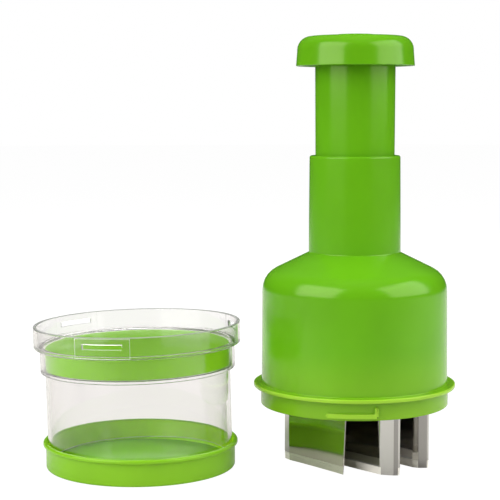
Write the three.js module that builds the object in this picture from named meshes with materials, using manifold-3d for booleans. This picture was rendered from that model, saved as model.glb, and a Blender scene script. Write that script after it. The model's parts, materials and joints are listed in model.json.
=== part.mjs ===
// Hand-pressed vegetable dicer, made of two free-standing units:
//   the press unit, whose spring-loaded knob drives a zigzag blade, and
//   the clear cup in its base dish, with the storage lid inside its collar.
// Millimetres, +Z up. The origin is on the table, under the middle of the whole set.
import * as THREE from 'three';
import { mergeVertices } from 'three/addons/utils/BufferGeometryUtils.js';
import Module from 'manifold-3d';

const wasm = await Module();
wasm.setup();

// ---------------------------------------------------------------- driving dimensions (mm)

const gap = 0.3; // between pieces that touch
const roundSides = 44; // facets around the large round pieces
const innerSides = 32; // facets around the pieces inside the neck
const smallSides = 20; // facets around the stem and its rings
const screwSides = 12;
const arcSteps = 3; // steps in a rounded outline corner

// The two units stand side by side, the press unit a little further back.
const unitSpacing = { x: 105.6, y: 13.6 };

// Cup unit
const cup = {
  radius: 45.0, // outside of the main wall
  collarRadius: 47.4, // outside of the lower collar, around the lid
  mouthRadius: 50.3, // outside of the upper collar, around the press unit's skirt
  wall: 1.6,
  collarZ: 47.1,
  mouthZ: 58.8,
  rimZ: 69.5,
  ledge: 1.4, // thickness of the two steps
  leanDegrees: 1.25, // the cup sits a little cocked in its base, its top towards -X
};
const slot = { width: 19.5, height: 2.2, z: 65.0, degrees: [-105, 14, 134.5] };
const panel = { width: 27, depth: 0.4, bottomZ: 59.6, topZ: 69.0 };
const base = {
  radius: 46.3,
  beadRadius: 47.6,
  height: 13.0,
  beadHeight: 2.1,
  floor: 2.5,
  innerRadius: 45.5,
  corner: 1.0,
};
const lid = { radius: 44.9, top: 59.1, wall: 1.4, roof: 1.9, corner: 0.8 };

// Press unit: the housing
const housing = {
  skirtZ: 28.0, // bottom edge, as high above the table as the blade sticks out
  skirtRadius: 46.5,
  skirtWall: 1.9,
  flangeRadius: 50.0,
  flangeBottomZ: 36.8,
  flangeTopZ: 38.7,
  bodyRadius: 45.7,
  wall: 2.2,
  shoulderCorner: 11.9,
  shoulderSlopeDegrees: 26.2,
  shoulderTopZ: 103.3,
  neckRadius: 22.7,
  neckTopRadius: 22.3,
  neckTopZ: 151.0,
  bossRadius: 3.6,
  bossCircle: 37.0,
  bossTopZ: 93.5,
};
const bayonet = {
  count: 3,
  middleDegrees: -95,
  widthDegrees: 30,
  proud: 1.4,
  bottomZ: 29.3,
  barTopZ: 31.4,
  hookTopZ: 34.6,
  hookDegrees: 2,
};

// Press unit: the knob and the plunger
const knob = { radius: 29.0, bottomZ: 194.6, topZ: 210.0, wall: 2.2 };
const tube = {
  radius: 19.4,
  wall: 1.9,
  bottomZ: 91.5,
  topZ: 203.4,
  webZ: 189.5,
  webThickness: 3,
  stopRadius: 25,
  stopThickness: 3,
};
const stem = { radius: 5.0, journalRadius: 3.5, journalTopZ: 42.0, pilotDepth: 18 };
const spring = { radius: 11.2, wire: 1.6, turns: 9 };
const bush = { wall: 1.15, sleeveTopZ: 114, flangeRadius: 27, flangeThickness: 1.1 };
const ledgeZ = 98.0; // the housing's inner ledge, which stops the plunger
const stopRingThickness = 1.4;
const springSeatRadius = 15;
const washerRadius = 5.4;

// Press unit: guide plate, indexing rings and blade
const plate = { z: 52.0, thickness: 3.0, tubeRadius: 8.6, tubeTopZ: 118 };
const index = { innerRadius: 5.5, outerRadius: 13, ring: 2.5, teeth: 6, toothWidth: 3.2, toothHeight: 2.5 };
const carrier = { radius: 42.0, bottomZ: 34.0, thickness: 4.5, hubRadius: 13, hubTopZ: 41.7 };
const blade = { height: 36.5, thickness: 0.7, bend: 1.3, splay: 2.2 };
// Plan of the blade's centre line about the press axis: six legs, folded to and fro.
const bladePlan = [
  [-5.9, -34.8],
  [-34.9, -3.2],
  [-25.2, 3.8],
  [10.3, -36.5],
  [14.2, -38.2],
  [20.3, -38.1],
  [-31.0, 21.8],
  [-20.9, 33.2],
  [29.2, -23.4],
  [35.9, -23.2],
  [-15.4, 35.9],
  [2.5, 39.5],
  [35.2, 1.6],
];

// Screws: head radius and height, and the shank
const stemScrew = { head: 5.0, headHeight: 3.2, shank: 2.4, length: 18 };
const carrierScrew = { head: 4.2, headHeight: 2.8, shank: 2.0, length: 18 };
const guideScrew = { head: 3.2, headHeight: 2.1, shank: 1.5, length: 14 };

// ---------------------------------------------------------------- materials

const lime = new THREE.MeshStandardMaterial({ color: 0x76c01c, roughness: 0.35, metalness: 0 });
const clear = new THREE.MeshStandardMaterial({
  color: 0xf2f5f2,
  roughness: 0.08,
  metalness: 0,
  transparent: true,
  opacity: 0.35,
});
const bladeSteel = new THREE.MeshStandardMaterial({ color: 0xc9c8c6, roughness: 0.12, metalness: 1 });
const zincSteel = new THREE.MeshStandardMaterial({ color: 0xb4b6b8, roughness: 0.3, metalness: 1 });
const nylon = new THREE.MeshStandardMaterial({ color: 0xeeece4, roughness: 0.5, metalness: 0 });
const silicone = new THREE.MeshStandardMaterial({ color: 0xd8dad4, roughness: 0.7, metalness: 0 });

// ---------------------------------------------------------------- solids and shapes

const radians = THREE.MathUtils.degToRad;

// Six times the signed volume of an indexed mesh: negative when its faces point inwards.
function signedVolume(positions, indices) {
  const corner = [new THREE.Vector3(), new THREE.Vector3(), new THREE.Vector3()];
  let sum = 0;
  for (let i = 0; i < indices.length; i += 3) {
    corner.forEach((point, k) => point.fromArray(positions, 3 * indices[i + k]));
    sum += corner[0].dot(corner[1].clone().cross(corner[2]));
  }
  return sum;
}

// A closed three.js geometry as a solid that can be joined and cut, its faces turned outwards.
function solidOf(geometry) {
  geometry.deleteAttribute('normal');
  geometry.deleteAttribute('uv');
  const merged = mergeVertices(geometry);
  const positions = merged.attributes.position.array;
  const kept = [];
  for (let i = 0; i < merged.index.count; i += 3) {
    const [a, b, c] = [0, 1, 2].map((k) => merged.index.getX(i + k));
    if (a !== b && b !== c && c !== a) kept.push(a, b, c);
  }
  if (signedVolume(positions, kept) < 0) kept.reverse();
  return new wasm.Manifold(
    new wasm.Mesh({
      numProp: 3,
      vertProperties: new Float32Array(positions),
      triVerts: new Uint32Array(kept),
    }),
  );
}

// A named mesh from a solid.
function piece(name, solid, material) {
  const { vertProperties, triVerts } = solid.getMesh();
  const geometry = new THREE.BufferGeometry();
  geometry.setAttribute('position', new THREE.BufferAttribute(new Float32Array(vertProperties), 3));
  geometry.setIndex(new THREE.BufferAttribute(new Uint32Array(triVerts), 1));
  geometry.computeVertexNormals();
  const mesh = new THREE.Mesh(geometry, material);
  mesh.name = name;
  return mesh;
}

// The solid of revolution of an outline of [radius, z] points about the Z axis.
// The outline starts and ends on the axis, or it is closed on itself here.
function turned(outline, sides = roundSides) {
  const points = outline.map(([radius, z]) => new THREE.Vector2(radius, z));
  if (points[0].x > 0) points.push(points[0].clone());
  return solidOf(new THREE.LatheGeometry(points, sides).rotateX(Math.PI / 2));
}

// A disc, or a ring when it has an inner radius.
function disc(outer, bottomZ, topZ, inner = 0, sides = roundSides) {
  const outline = [
    [inner, bottomZ],
    [outer, bottomZ],
    [outer, topZ],
    [inner, topZ],
  ];
  return turned(outline, sides);
}

// An outline in plan, raised from bottomZ to topZ.
function raised(shape, bottomZ, topZ) {
  const settings = { depth: topZ - bottomZ, bevelEnabled: false, curveSegments: 5 };
  return solidOf(new THREE.ExtrudeGeometry(shape, settings).translate(0, 0, bottomZ));
}

// A block that follows a circle: from one radius to another, over an angle, between two heights.
function arcBlock(inner, outer, middleDegrees, widthDegrees, bottomZ, topZ) {
  const from = radians(middleDegrees - widthDegrees / 2);
  const to = radians(middleDegrees + widthDegrees / 2);
  const shape = new THREE.Shape();
  shape.absarc(0, 0, outer, from, to, false);
  shape.absarc(0, 0, inner, to, from, true);
  return raised(shape, bottomZ, topZ);
}

// Angles of count equal steps around a circle.
function around(count, firstDegrees) {
  return Array.from({ length: count }, (_, i) => firstDegrees + (360 / count) * i);
}

// Points of a circular arc in an outline.
function arc([centreRadius, centreZ], radius, fromDegrees, toDegrees, steps = arcSteps) {
  return Array.from({ length: steps + 1 }, (_, i) => {
    const angle = radians(fromDegrees + ((toDegrees - fromDegrees) * i) / steps);
    return [centreRadius + radius * Math.cos(angle), centreZ + radius * Math.sin(angle)];
  });
}

// A pan-head screw along Z: its head's seat is at seatZ, its shank runs up or down from there.
function screw({ head, headHeight, shank, length }, seatZ, shankUp) {
  const side = shankUp ? 1 : -1;
  const outline = [
    [0, seatZ - side * headHeight],
    [head * 0.8, seatZ - side * headHeight],
    [head, seatZ - side * headHeight * 0.6],
    [head, seatZ],
    [shank, seatZ],
    [shank, seatZ + side * (length - shank)],
    [shank * 0.3, seatZ + side * length],
    [0, seatZ + side * length],
  ];
  return turned(outline, screwSides);
}

// ---------------------------------------------------------------- cup unit

const cupBottomZ = base.floor + gap;
const lidBottomZ = cup.collarZ + cup.ledge + gap;

function cupSolid() {
  const collarInner = cup.collarRadius - cup.wall;
  const mouthInner = cup.mouthRadius - cup.wall;
  const inner = cup.radius - cup.wall;
  let solid = turned([
    [cup.radius, cupBottomZ],
    [cup.radius, cup.collarZ],
    [cup.collarRadius, cup.collarZ],
    [cup.collarRadius, cup.mouthZ],
    [cup.mouthRadius, cup.mouthZ],
    [cup.mouthRadius, cup.rimZ],
    [mouthInner, cup.rimZ],
    [mouthInner, cup.mouthZ + cup.ledge],
    [collarInner, cup.mouthZ + cup.ledge],
    [collarInner, cup.collarZ + cup.ledge],
    [inner, cup.collarZ + cup.ledge],
    [inner, cupBottomZ],
  ]);
  const degreesPerMm = 180 / (Math.PI * cup.mouthRadius);
  const panelDegrees = panel.width * degreesPerMm;
  const slotDegrees = slot.width * degreesPerMm;
  const outside = cup.mouthRadius + 1;
  const panelFloor = cup.mouthRadius - panel.depth;
  const slotBottomZ = slot.z - slot.height / 2;
  const slotTopZ = slot.z + slot.height / 2;
  for (const angle of slot.degrees) {
    solid = solid
      .subtract(arcBlock(panelFloor, outside, angle, panelDegrees, panel.bottomZ, panel.topZ))
      .subtract(arcBlock(mouthInner - 1, outside, angle, slotDegrees, slotBottomZ, slotTopZ));
  }
  return solid;
}

function baseSolid() {
  const beadZ = base.height - base.beadHeight;
  return turned([
    [0, 0],
    ...arc([base.radius - base.corner, base.corner], base.corner, -90, 0),
    [base.radius, beadZ],
    [base.beadRadius, beadZ + 0.5],
    [base.beadRadius, base.height - 0.6],
    [base.beadRadius - 0.6, base.height],
    [base.innerRadius + 0.4, base.height],
    [base.innerRadius, base.height - 0.4],
    [base.innerRadius, base.floor],
    [0, base.floor],
  ]);
}

function lidSolid() {
  const inner = lid.radius - lid.wall;
  return turned([
    [0, lid.top - lid.roof],
    [inner, lid.top - lid.roof],
    [inner, lidBottomZ],
    [lid.radius, lidBottomZ],
    ...arc([lid.radius - lid.corner, lid.top - lid.corner], lid.corner, 0, 90, 2),
    [0, lid.top],
  ]);
}

function cupUnit() {
  // The cup and its lid lean about the cup's lower edge, where it meets the base's floor at -X.
  const pivot = new THREE.Group();
  pivot.position.set(-cup.radius, 0, cupBottomZ);
  pivot.rotation.y = -radians(cup.leanDegrees);
  const upright = new THREE.Group();
  upright.position.set(cup.radius, 0, -cupBottomZ);
  upright.add(piece('clear_cup', cupSolid(), clear), piece('storage_lid', lidSolid(), lime));
  pivot.add(upright);
  const unit = new THREE.Group();
  unit.add(piece('cup_base', baseSolid(), lime), pivot);
  return unit;
}

// ---------------------------------------------------------------- press unit: housing and its plate

const plateTopZ = plate.z + plate.thickness;

// Plan centres of the bosses that the guide plate is screwed to.
const bossCentres = around(3, 30).map((angle) => [
  housing.bossCircle * Math.cos(radians(angle)),
  housing.bossCircle * Math.sin(radians(angle)),
]);

function housingSolid() {
  const slope = housing.shoulderSlopeDegrees;
  const run = Math.tan(radians(slope));
  const cornerTurn = Math.tan(radians((90 - slope) / 2));
  const coneZ = (radius) => housing.shoulderTopZ - (radius - housing.neckRadius) * run;
  const cornerZ = coneZ(housing.bodyRadius) - housing.shoulderCorner * cornerTurn;
  const centre = [housing.bodyRadius - housing.shoulderCorner, cornerZ];
  const inside = housing.bodyRadius - housing.wall;
  const coneDrop = housing.wall / Math.cos(radians(slope));
  const bore = tube.radius + 0.6;
  const bushBore = tube.radius + gap + bush.wall + gap + 0.25;
  const ledgeRadius = bush.flangeRadius + 0.5;
  let solid = turned([
    [housing.skirtRadius - housing.skirtWall, housing.skirtZ],
    [housing.skirtRadius - 0.4, housing.skirtZ],
    [housing.skirtRadius, housing.skirtZ + 0.5],
    [housing.skirtRadius, housing.flangeBottomZ],
    [housing.flangeRadius - 0.3, housing.flangeBottomZ],
    [housing.flangeRadius, housing.flangeBottomZ + 0.3],
    [housing.flangeRadius, housing.flangeTopZ - 0.3],
    [housing.flangeRadius - 0.3, housing.flangeTopZ],
    [housing.bodyRadius, housing.flangeTopZ],
    ...arc(centre, housing.shoulderCorner, 0, 90 - slope, 5),
    [housing.neckRadius, housing.shoulderTopZ],
    [housing.neckTopRadius, housing.neckTopZ - 0.8],
    [housing.neckTopRadius - 0.8, housing.neckTopZ],
    [bore, housing.neckTopZ],
    [bore, bush.sleeveTopZ + gap],
    [bushBore, bush.sleeveTopZ + gap],
    [bushBore, ledgeZ],
    [ledgeRadius, ledgeZ],
    [ledgeRadius + 2, coneZ(ledgeRadius + 2) - coneDrop],
    ...arc(centre, housing.shoulderCorner - housing.wall, 90 - slope, 0),
    [inside, housing.flangeTopZ],
    [housing.skirtRadius - housing.skirtWall, housing.flangeBottomZ],
  ]);
  const bossBottomZ = plateTopZ + gap;
  const pilotTopZ = plate.z + guideScrew.length + 2;
  for (const [x, y] of bossCentres) {
    const boss = disc(housing.bossRadius, bossBottomZ, housing.bossTopZ, 0, screwSides);
    const pilot = disc(guideScrew.shank + gap, bossBottomZ - 1, pilotTopZ, 0, screwSides);
    solid = solid.add(boss.translate(x, y, 0)).subtract(pilot.translate(x, y, 0));
  }
  for (const angle of around(bayonet.count, bayonet.middleDegrees)) {
    const inner = housing.skirtRadius - 1;
    const outer = housing.skirtRadius + bayonet.proud;
    const hookMiddle = angle + (bayonet.widthDegrees - bayonet.hookDegrees) / 2;
    solid = solid
      .add(arcBlock(inner, outer, angle, bayonet.widthDegrees, bayonet.bottomZ, bayonet.barTopZ))
      .add(arcBlock(inner, outer, hookMiddle, bayonet.hookDegrees, bayonet.bottomZ, bayonet.hookTopZ));
  }
  return solid;
}

function bushSolid() {
  const inner = tube.radius + gap + 0.25;
  const sleeve = inner + bush.wall - gap;
  const flangeTopZ = ledgeZ - gap;
  return turned(
    [
      [inner, flangeTopZ - bush.flangeThickness],
      [bush.flangeRadius, flangeTopZ - bush.flangeThickness],
      [bush.flangeRadius, flangeTopZ],
      [sleeve, flangeTopZ],
      [sleeve, bush.sleeveTopZ],
      [inner, bush.sleeveTopZ],
    ],
    innerSides,
  );
}

function guidePlateSolid() {
  let solid = turned([
    [stem.radius + gap, plate.z],
    [housing.bodyRadius - housing.wall - gap, plate.z],
    [housing.bodyRadius - housing.wall - gap, plateTopZ],
    [plate.tubeRadius, plateTopZ],
    [plate.tubeRadius, plate.tubeTopZ],
    [stem.radius + gap, plate.tubeTopZ],
  ]);
  for (const [x, y] of bossCentres) {
    const hole = disc(guideScrew.shank + 0.4, plate.z - 1, plateTopZ + 1, 0, screwSides);
    solid = solid.subtract(hole.translate(x, y, 0));
  }
  return solid;
}

// A ring with triangular teeth on its upper face, from its flat side at z = 0.
function toothedRing(firstDegrees) {
  let solid = disc(index.outerRadius, 0, index.ring, index.innerRadius, smallSides);
  const tooth = new THREE.Shape([
    new THREE.Vector2(-index.toothWidth / 2, 0),
    new THREE.Vector2(index.toothWidth / 2, 0),
    new THREE.Vector2(index.toothWidth / 2, index.toothHeight + 0.2),
  ]);
  const toothInner = index.innerRadius + 1.5;
  const settings = { depth: index.outerRadius - 0.5 - toothInner, bevelEnabled: false };
  for (const angle of around(index.teeth, firstDegrees)) {
    const wedge = new THREE.ExtrudeGeometry(tooth, settings)
      .rotateX(Math.PI / 2)
      .translate(0, -toothInner, index.ring - 0.2)
      .rotateZ(radians(angle));
    solid = solid.add(solidOf(wedge));
  }
  return solid;
}

// ---------------------------------------------------------------- press unit: plunger

function knobSolid() {
  const socket = tube.radius + 0.5;
  const roofZ = tube.topZ + gap;
  const shoulder = 7.4; // height and depth of the rounded shoulder
  const crownZ = knob.topZ - 1.4; // where the crown meets the shoulder
  const shoulderOutline = Array.from({ length: 5 }, (_, i) => {
    const angle = (Math.PI / 2) * (i / 4);
    return [
      knob.radius - 0.5 - shoulder * (1 - Math.cos(angle)),
      crownZ - shoulder * (1 - Math.sin(angle)),
    ];
  });
  return turned([
    [0, roofZ + 3],
    [tube.radius - tube.wall - 0.6, roofZ + 3],
    [tube.radius - tube.wall - 0.6, roofZ],
    [socket, roofZ],
    [socket, knob.bottomZ + 3],
    [socket + 1.9, knob.bottomZ + 3],
    [socket + 1.9, roofZ + 2.2],
    [knob.radius - 6, roofZ + 2.2],
    [knob.radius - knob.wall - 1.4, roofZ],
    [knob.radius - knob.wall, knob.bottomZ],
    [knob.radius, knob.bottomZ],
    ...shoulderOutline,
    [knob.radius * 0.4, knob.topZ - 0.4],
    [0, knob.topZ],
  ]);
}

function tubeSolid() {
  const inner = tube.radius - tube.wall;
  const hole = stemScrew.shank + 0.4;
  return turned(
    [
      [hole, tube.webZ],
      [inner, tube.webZ],
      [inner, tube.bottomZ],
      [tube.stopRadius, tube.bottomZ],
      [tube.stopRadius, tube.bottomZ + tube.stopThickness],
      [tube.radius, tube.bottomZ + tube.stopThickness],
      [tube.radius, tube.topZ],
      [inner, tube.topZ],
      [inner, tube.webZ + tube.webThickness],
      [hole, tube.webZ + tube.webThickness],
    ],
    innerSides,
  );
}

function stemSolid() {
  const topZ = tube.webZ - gap;
  return turned(
    [
      [0, carrier.bottomZ + stem.pilotDepth + 1],
      [carrierScrew.shank + gap, carrier.bottomZ + stem.pilotDepth + 1],
      [carrierScrew.shank + gap, carrier.bottomZ],
      [stem.journalRadius, carrier.bottomZ],
      [stem.journalRadius, stem.journalTopZ],
      [stem.radius, stem.journalTopZ],
      [stem.radius, topZ],
      [stemScrew.shank + gap, topZ],
      [stemScrew.shank + gap, topZ - stem.pilotDepth],
      [0, topZ - stem.pilotDepth],
    ],
    smallSides,
  );
}

// The spring's centre line: its end turns lie flat, the turns between rise evenly.
class SpringLine extends THREE.Curve {
  constructor(radius, bottomZ, topZ, turns) {
    super();
    Object.assign(this, { radius, bottomZ, topZ, turns });
  }

  getPoint(t, target = new THREE.Vector3()) {
    const angle = 2 * Math.PI * this.turns * t;
    const flat = 0.75 / this.turns;
    const rise = THREE.MathUtils.clamp((t - flat) / (1 - 2 * flat), 0, 1);
    const pitchless = this.bottomZ + (this.topZ - this.bottomZ) * rise;
    return target.set(this.radius * Math.cos(angle), this.radius * Math.sin(angle), pitchless);
  }
}

function springSolid(bottomZ, topZ) {
  const line = new SpringLine(spring.radius, bottomZ + spring.wire / 2, topZ - spring.wire / 2, spring.turns);
  const section = new THREE.Shape().absarc(0, 0, spring.wire / 2, 0, 2 * Math.PI, false);
  const settings = { steps: spring.turns * 12, extrudePath: line, curveSegments: 3 };
  return solidOf(new THREE.ExtrudeGeometry(section, settings));
}

// ---------------------------------------------------------------- press unit: blade and carrier

// The centre line with each corner rounded, as a list of plan points.
function roundedPlan(corners, bend, steps) {
  const points = corners.map(([x, y]) => new THREE.Vector2(x, y));
  const line = [points[0]];
  for (let i = 1; i < points.length - 1; i += 1) {
    const before = points[i - 1].clone().sub(points[i]).normalize();
    const after = points[i + 1].clone().sub(points[i]).normalize();
    const halfTurn = Math.acos(THREE.MathUtils.clamp(before.dot(after), -1, 1)) / 2;
    const reach = bend / Math.tan(halfTurn);
    const start = points[i].clone().addScaledVector(before, reach);
    const end = points[i].clone().addScaledVector(after, reach);
    const curve = new THREE.QuadraticBezierCurve(start, points[i], end);
    line.push(...curve.getPoints(steps));
  }
  line.push(points.at(-1));
  return line;
}

// The closed outline of a strip of the given thickness along that line.
function stripShape(thickness) {
  const line = roundedPlan(bladePlan, blade.bend, arcSteps);
  const sideways = line.map((point, i) => {
    const from = line[Math.max(i - 1, 0)];
    const to = line[Math.min(i + 1, line.length - 1)];
    const along = to.clone().sub(from).normalize();
    return new THREE.Vector2(-along.y, along.x).multiplyScalar(thickness / 2);
  });
  const left = line.map((point, i) => point.clone().add(sideways[i]));
  const right = line.map((point, i) => point.clone().sub(sideways[i]));
  return new THREE.Shape([...left, ...right.reverse()]);
}

// The strip stands straight in its groove, but its free front end is splayed outwards at the bottom.
function bladeSolid() {
  const [end, fold] = bladePlan.slice(0, 2).map(([x, y]) => new THREE.Vector2(x, y));
  const along = end.clone().sub(fold).normalize();
  return raised(stripShape(blade.thickness), 0, blade.height).warp((point) => {
    if (Math.hypot(point[0] - end.x, point[1] - end.y) > blade.thickness) return;
    const reach = blade.splay * (1 - point[2] / blade.height);
    point[0] += along.y * reach;
    point[1] -= along.x * reach;
  });
}

function carrierSolid() {
  const groove = raised(stripShape(blade.thickness + 2 * gap), carrier.bottomZ - 1, blade.height + gap);
  return turned([
    [stem.journalRadius + gap, carrier.bottomZ],
    [carrier.radius, carrier.bottomZ],
    [carrier.radius, carrier.bottomZ + carrier.thickness],
    [carrier.hubRadius, carrier.bottomZ + carrier.thickness],
    [carrier.hubRadius, carrier.hubTopZ],
    [stem.journalRadius + gap, carrier.hubTopZ],
  ]).subtract(groove);
}

// ---------------------------------------------------------------- press unit: assembly

function housingPieces() {
  const cam = toothedRing(0).rotate(180, 0, 0).translate(0, 0, plate.z - gap);
  const pieces = [
    piece('housing', housingSolid(), lime),
    piece('neck_bush', bushSolid(), nylon),
    piece('guide_plate', guidePlateSolid(), nylon),
    piece('index_cam', cam, nylon),
  ];
  bossCentres.forEach(([x, y], i) => {
    const fixing = piece(`guide_screw_${i + 1}`, screw(guideScrew, plate.z - gap, true), zincSteel);
    fixing.position.set(x, y, 0);
    pieces.push(fixing);
  });
  return pieces;
}

function plungerPieces() {
  const seatTopZ = tube.webZ - gap;
  const seatBottomZ = seatTopZ - 1.5;
  const ringBottomZ = tube.bottomZ + tube.stopThickness + gap;
  const washerTopZ = carrier.bottomZ - gap;
  const washerBottomZ = washerTopZ - 1.3;
  const stopRing = disc(
    tube.stopRadius,
    ringBottomZ,
    ringBottomZ + stopRingThickness,
    tube.radius + gap,
    innerSides,
  );
  const springSeat = disc(springSeatRadius, seatBottomZ, seatTopZ, stem.radius + 1, smallSides);
  const washer = disc(washerRadius, washerBottomZ, washerTopZ, carrierScrew.shank + gap, screwSides);
  return [
    piece('knob_cap', knobSolid(), lime),
    piece('plunger_tube', tubeSolid(), lime),
    piece('stem_screw', screw(stemScrew, tube.webZ + tube.webThickness + gap, false), zincSteel),
    piece('drive_stem', stemSolid(), nylon),
    piece('spring_seat', springSeat, zincSteel),
    piece('return_spring', springSolid(plateTopZ + gap, seatBottomZ - gap), zincSteel),
    piece('stop_ring', stopRing, silicone),
    piece('carrier_washer', washer, zincSteel),
    piece('carrier_screw', screw(carrierScrew, washerBottomZ - gap, true), zincSteel),
  ];
}

function bladePieces() {
  const rotor = toothedRing(180 / index.teeth).translate(0, 0, carrier.hubTopZ + gap);
  return [
    piece('blade_carrier', carrierSolid(), nylon),
    piece('index_rotor', rotor, nylon),
    piece('blade_strip', bladeSolid(), bladeSteel),
  ];
}

function pressUnit() {
  const unit = new THREE.Group();
  unit.add(...housingPieces(), ...plungerPieces(), ...bladePieces());
  return unit;
}

// ---------------------------------------------------------------- the set, centred on the origin

// How far the leaning cup's rim reaches towards -X from the base's axis.
const lean = radians(cup.leanDegrees);
const rimReach =
  cup.radius +
  (cup.mouthRadius - cup.radius) * Math.cos(lean) +
  (cup.rimZ - cupBottomZ) * Math.sin(lean);

const group = new THREE.Group();
const cups = cupUnit();
cups.position.set(
  (rimReach - housing.flangeRadius - unitSpacing.x) / 2,
  (cup.mouthRadius - housing.flangeRadius - unitSpacing.y) / 2,
  0,
);
const press = pressUnit();
press.position.set(cups.position.x + unitSpacing.x, cups.position.y + unitSpacing.y, 0);
group.add(cups, press);

export default group;
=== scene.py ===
"""Looks of the hand-pressed vegetable dicer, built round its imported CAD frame.

The press unit stands on its folded blade, and the clear cup stands beside it in its green base with the
storage lid in its collar. Outlines are in millimetres about each unit's own upright axis, whose place comes
from the frame. The meshes made from them are in metres, in the frame's own coordinates.
"""
from collections import namedtuple
import json
import math

import bmesh
import bpy
from mathutils import Matrix, Vector


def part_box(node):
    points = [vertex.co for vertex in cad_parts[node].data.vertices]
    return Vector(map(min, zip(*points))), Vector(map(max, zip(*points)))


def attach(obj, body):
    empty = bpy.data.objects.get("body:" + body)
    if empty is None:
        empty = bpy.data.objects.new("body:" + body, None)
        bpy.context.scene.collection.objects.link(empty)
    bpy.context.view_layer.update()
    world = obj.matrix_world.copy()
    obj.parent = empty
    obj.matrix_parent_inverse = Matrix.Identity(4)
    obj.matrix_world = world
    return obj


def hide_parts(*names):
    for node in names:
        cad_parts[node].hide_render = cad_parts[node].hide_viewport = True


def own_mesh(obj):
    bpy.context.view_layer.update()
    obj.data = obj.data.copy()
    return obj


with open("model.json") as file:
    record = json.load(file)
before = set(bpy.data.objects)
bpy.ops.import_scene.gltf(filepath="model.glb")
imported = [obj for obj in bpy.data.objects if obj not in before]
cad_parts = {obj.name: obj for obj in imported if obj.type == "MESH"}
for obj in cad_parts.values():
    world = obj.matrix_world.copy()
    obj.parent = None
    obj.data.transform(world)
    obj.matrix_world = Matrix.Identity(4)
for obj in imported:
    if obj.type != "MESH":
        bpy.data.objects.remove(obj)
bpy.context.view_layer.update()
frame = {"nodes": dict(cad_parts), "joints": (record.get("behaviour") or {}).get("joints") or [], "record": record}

MM = 0.001
ROUND = 160  # facets round the large pieces
BOSS_SIDES = 32  # facets round a screw boss
ARC_STEP = math.radians(14)  # turn per facet in a rounded corner
ON_AXIS = 1e-6  # a smaller radius than this is a point on the axis (mm)

# A ring of the cup: its radius and height, 1 if it is sunk in a panel, and the wall face of a slot it edges.
Row = namedtuple("Row", "radius z sunk slot_face")
# An upright line of the cup.
Column = namedtuple("Column", "angle in_panel in_slot")


# ------------------------------------------------------------------ places, from the frame

def joint(name):
    """The joint of that name in the frame."""
    return next(j for j in frame["joints"] if j["name"] == name)


def middle(node):
    """The middle of a node's box, on the table."""
    low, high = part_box(node)
    return Vector(((low.x + high.x) / 2, (low.y + high.y) / 2, 0))


PRESS = Vector((*joint("blade_turn")["pos_m"][:2], 0))
CUP = middle("cup_base")
LEAN = Vector(joint("cup_lift")["axis"])


# ------------------------------------------------------------------ sizes (mm)

BLADE_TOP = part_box("blade_strip")[1].z / MM
BLADE_THICKNESS = 0.7
BLADE_EDGE = 0.16  # thickness at the sharpened edge
BLADE_BEND = 1.3  # radius of the folds
GROUND_EDGE = 3.7  # height of the band that is ground sharp
NOSE_SEAM = 16.3  # from here to the right the folds' faces are painted darker and a little rougher: painted shade
BLADE_SPLAY = 2.2  # the free front end stands out by this much at the bottom
FREE_LEG_FACES = 12  # facets along the free front leg
# Plan of the blade's centre line about the press axis: six legs, folded to and fro.
BLADE_PLAN = (
    (-5.9, -34.8),
    (-32.3, -6.0),
    (-34.7, -1.2),
    (-25.2, 3.8),
    (10.3, -36.5),
    (16.3, -38.3),
    (20.4, -37.7),
    (-31.0, 21.8),
    (-20.9, 33.2),
    (27.3, -22.0),
    (30.1, -23.5),
    (35.9, -23.1),
    (-15.4, 35.9),
    (2.5, 39.5),
    (35.2, 1.6),
)

SKIRT_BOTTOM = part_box("housing")[0].z / MM
NECK_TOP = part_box("housing")[1].z / MM
FLANGE_RADIUS = (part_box("housing")[1].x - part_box("housing")[0].x) / 2 / MM
SKIRT_RADIUS = 46.5
SKIRT_WALL = 1.9
FLANGE_BOTTOM = 36.8
FLANGE_TOP = 38.7
FLANGE_HIGHLIGHT_BAND = 0.8  # width of the flange's rim painted lighter: a painted highlight on its lip
BODY_RADIUS = 45.6
BODY_FLARE = 0.5  # the body is wider at the flange by this much
SHOULDER_CORNER = 11.9
SHOULDER_SLOPE = math.radians(26.2)
SHOULDER_TOP = 103.3
NECK_RADIUS = 22.7
NECK_TOP_RADIUS = 22.3
HOUSING_WALL = 2.2
NECK_BORE = 20.0
BUSH_BORE = 21.4
BUSH_SEAT, BUSH_TOP = 98.0, 114.3
BUSH_RING = 27.5  # outer radius of the bush's seat
ROOF_START = 29.5  # the shoulder's inner slope starts at this radius
BOSS_CIRCLE = 37.0
BOSS_MIDDLE = 30  # degrees about the press axis, first of three
BOSS_RADIUS = 3.6
BOSS_HOLE = 1.8
BOSS_BOTTOM, BOSS_TOP = 55.3, 93.5
BOSS_HOLE_TOP = 68.0

HOOK_MIDDLE = -95  # degrees about the press axis, first of three
HOOK_ARC = 30  # degrees
HOOK_BOTTOM = 29.3
HOOK_BAR_TOP = 31.4
HOOK_TOP = 34.6
HOOK_WIDTH = 1.6
HOOK_PROUD = 1.4
HOOK_SUNK = 0.5  # the rib starts inside the skirt by this much
HOOK_ROUND = 0.75

KNOB_LOW, KNOB_HIGH = (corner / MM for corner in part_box("knob_cap"))
KNOB_RADIUS = (KNOB_HIGH.x - KNOB_LOW.x) / 2
TUBE_LOW, TUBE_HIGH = (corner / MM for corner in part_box("plunger_tube"))
TUBE_STOP_RADIUS = (TUBE_HIGH.x - TUBE_LOW.x) / 2
TUBE_RADIUS = 19.4
TUBE_WALL = 1.9
TUBE_DRAFT = 0.25  # the tube is wider at its top by this much, and narrower at its bottom
TUBE_FOOT = 3.0  # thickness of the stop flange
TUBE_WEB = 189.5
WEB_THICKNESS = 3.0
WEB_HOLE = 2.8

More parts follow.
